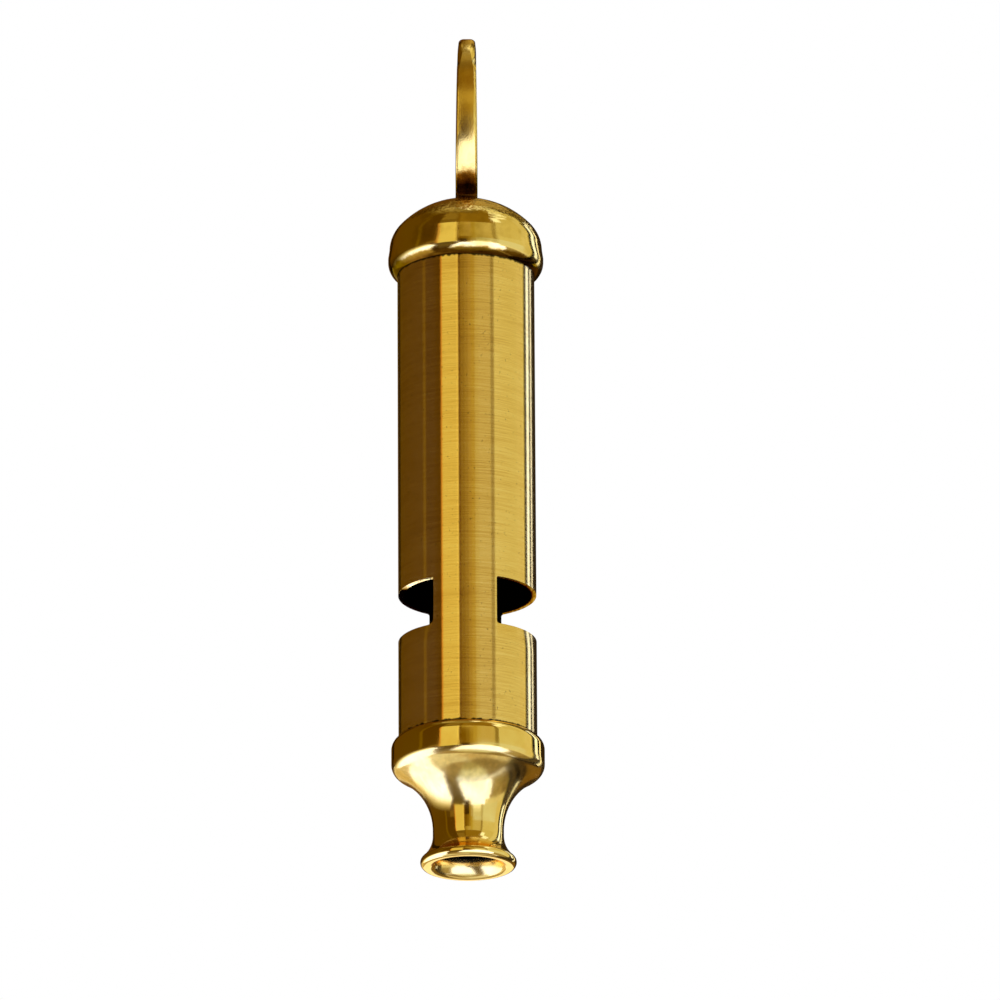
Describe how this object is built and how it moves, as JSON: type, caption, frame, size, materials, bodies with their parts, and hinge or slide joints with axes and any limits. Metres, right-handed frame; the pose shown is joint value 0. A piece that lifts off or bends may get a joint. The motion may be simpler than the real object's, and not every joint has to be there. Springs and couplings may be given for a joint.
{
  "type": "survival whistle",
  "caption": "Round brass two-note pocket whistle with side sound windows, a turned mouthpiece, a domed cap and a lanyard loop.",
  "frame": {"origin": "centre of the lowest plane of the mouthpiece's rolled lip", "axes": "+Z along the barrel from the lip to the loop; +X and -X out of the two sound windows; the lanyard loop lies in the Y-Z plane"},
  "size_m": [0.0153, 0.0152, 0.0858],
  "materials": {
    "polished_brass": "polished, with fine scratches",
    "satin_brass": "satin, with fine turned lines round the tube",
    "inner_brass": "dull, as soldered",
    "solder": "bright solder"
  },
  "bodies": {
    "root": {"mouthpiece": "polished_brass", "barrel": "satin_brass", "right_windway_block": "inner_brass", "left_windway_block": "inner_brass", "divider_plate": "inner_brass", "low_note_stop": "inner_brass", "high_note_stop": "inner_brass", "top_cap": "polished_brass", "lanyard_loop": "polished_brass", "loop_solder": "solder"}
  },
  "joints": []
}
